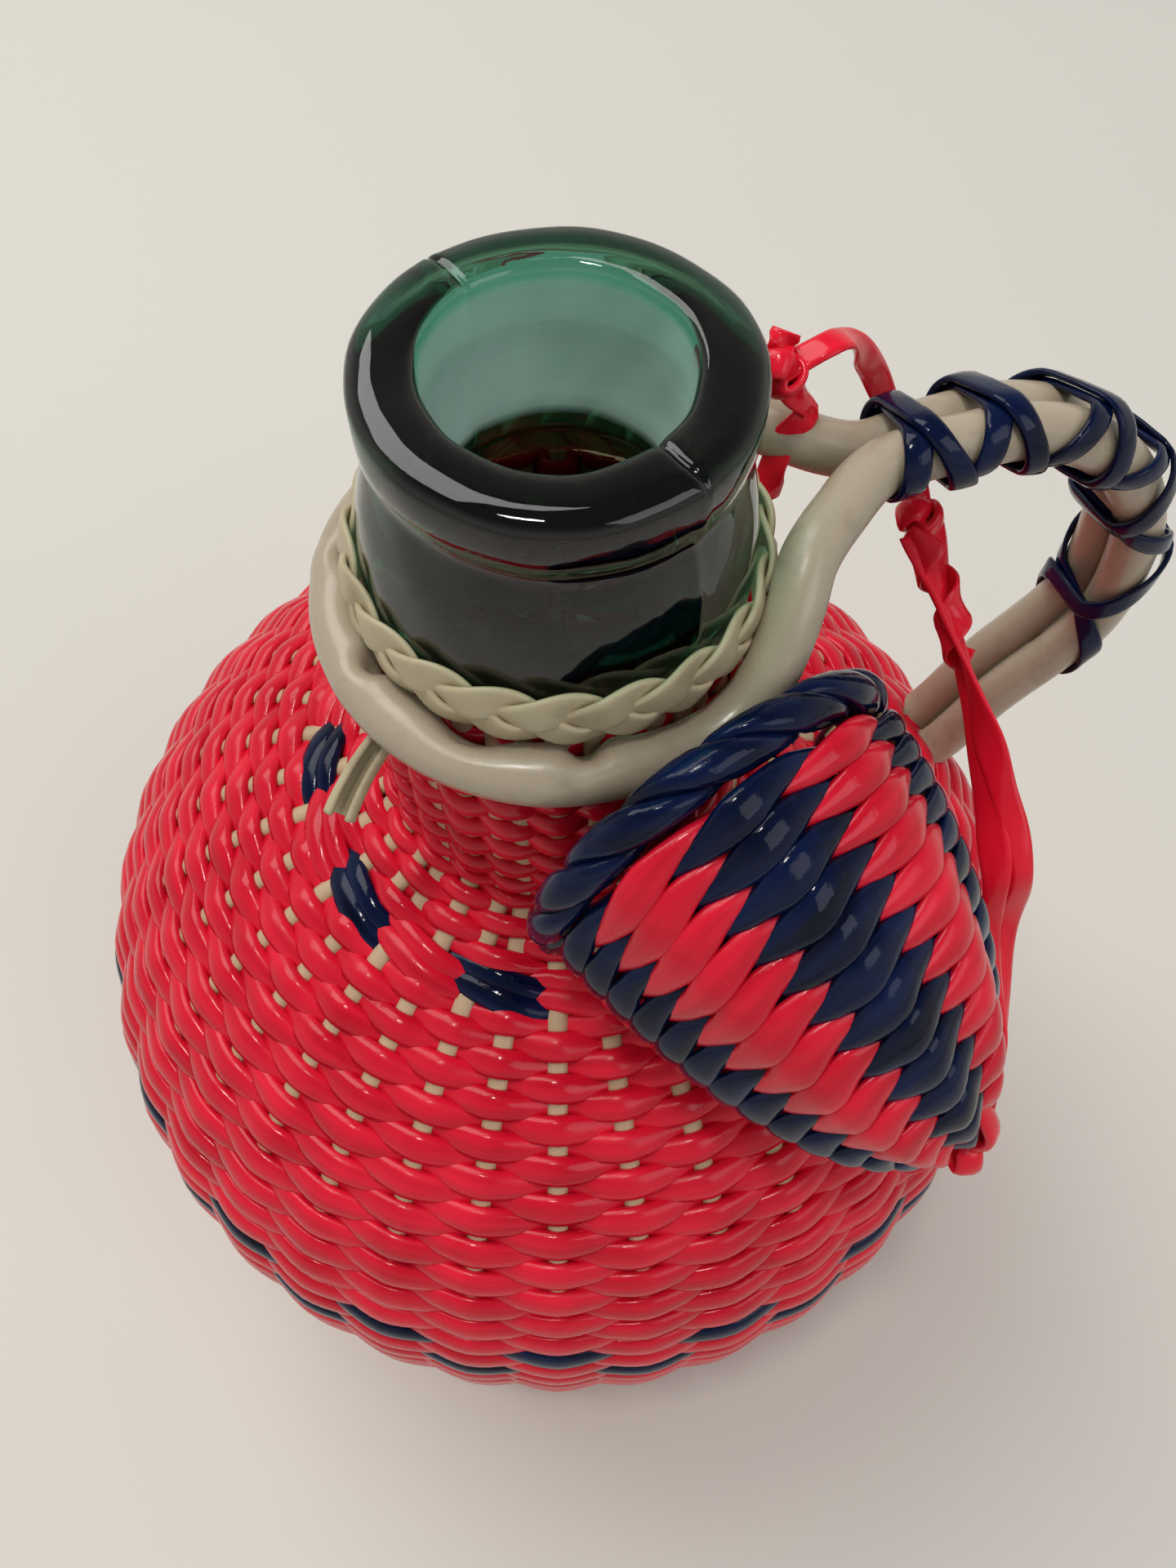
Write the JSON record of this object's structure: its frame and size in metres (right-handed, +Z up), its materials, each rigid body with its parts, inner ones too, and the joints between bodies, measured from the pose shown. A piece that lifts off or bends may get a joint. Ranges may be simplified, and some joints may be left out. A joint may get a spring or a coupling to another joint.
{
  "type": "carafe",
  "caption": "Round-bellied green glass carafe in a jacket woven from red plastic cord, with a lashed tube handle looped round its neck and a woven cap on a tether.",
  "frame": {"origin": "centre of the flat base on the floor, on the bottle's axis", "axes": "+Z up along the bottle's axis, -Y the front seen in the picture, +X to the right, towards the handle"},
  "size_m": [0.2173, 0.2144, 0.2855],
  "materials": {
    "green_glass": "dark green blown glass, smooth, with mould marks",
    "red_cord": "glossy scarlet plastic cord",
    "navy_cord": "glossy navy plastic cord",
    "stake_tube": "beige plastic tube",
    "greige_tube": "soft greige plastic hose, satin",
    "cream_strip": "cream flattened plastic tube",
    "core_wire": "drawn wire"
  },
  "bodies": {
    "carafe": {"glass_bottle": "green_glass", "stake_01": "stake_tube", "stake_02": "stake_tube", "stake_03": "stake_tube", "stake_04": "stake_tube", "stake_05": "stake_tube", "stake_06": "stake_tube", "stake_07": "stake_tube", "stake_08": "stake_tube", "stake_09": "stake_tube", "stake_10": "stake_tube", "stake_11": "stake_tube", "stake_12": "stake_tube", "stake_13": "stake_tube", "stake_14": "stake_tube", "stake_15": "stake_tube", "stake_16": "stake_tube", "stake_17": "stake_tube", "stake_18": "stake_tube", "stake_19": "stake_tube", "stake_20": "stake_tube", "stake_21": "stake_tube", "stake_22": "stake_tube", "stake_23": "stake_tube", "stake_24": "stake_tube", "stake_25": "stake_tube", "stake_26": "stake_tube", "stake_27": "stake_tube", "stake_28": "stake_tube", "stake_29": "stake_tube", "stake_30": "stake_tube", "stake_31": "stake_tube", "stake_32": "stake_tube", "stake_33": "stake_tube", "stake_34": "stake_tube", "stake_35": "stake_tube", "stake_36": "stake_tube", "neck_weave": "red_cord", "split_row_upper": "navy_cord", "split_row_lower": "navy_cord", "shoulder_weave": "red_cord", "belly_row_upper": "navy_cord", "belly_weave": "red_cord", "belly_row_lower": "navy_cord", "lower_weave": "red_cord", "foot_border": "red_cord", "base_disc": "red_cord", "neck_braid": "cream_strip", "braid_tail": "cream_strip", "handle_tube": "greige_tube", "handle_core_wire": "core_wire", "handle_lashing": "navy_cord", "tether_hitch": "red_cord", "tether_knot": "red_cord"},
    "tether": {"tether_cord": "red_cord"},
    "cap": {"cap_weave": "red_cord", "cap_rim": "navy_cord", "cap_tip_knot": "red_cord"}
  },
  "joints": [
    {"name": "tether_swing", "type": "hinge", "parent": "carafe", "child": "tether", "pos_m": [0.05776, 0.01548, 0.23965], "axis": [0.9659, 0.2588, 0], "range_deg": [-30, 0]},
    {"name": "cap_tilt", "type": "hinge", "parent": "tether", "child": "cap", "pos_m": [0.06734, -0.07127, 0.1818], "axis": [0.6561, 0.7547, 0], "range_deg": [0, 50]}
  ]
}
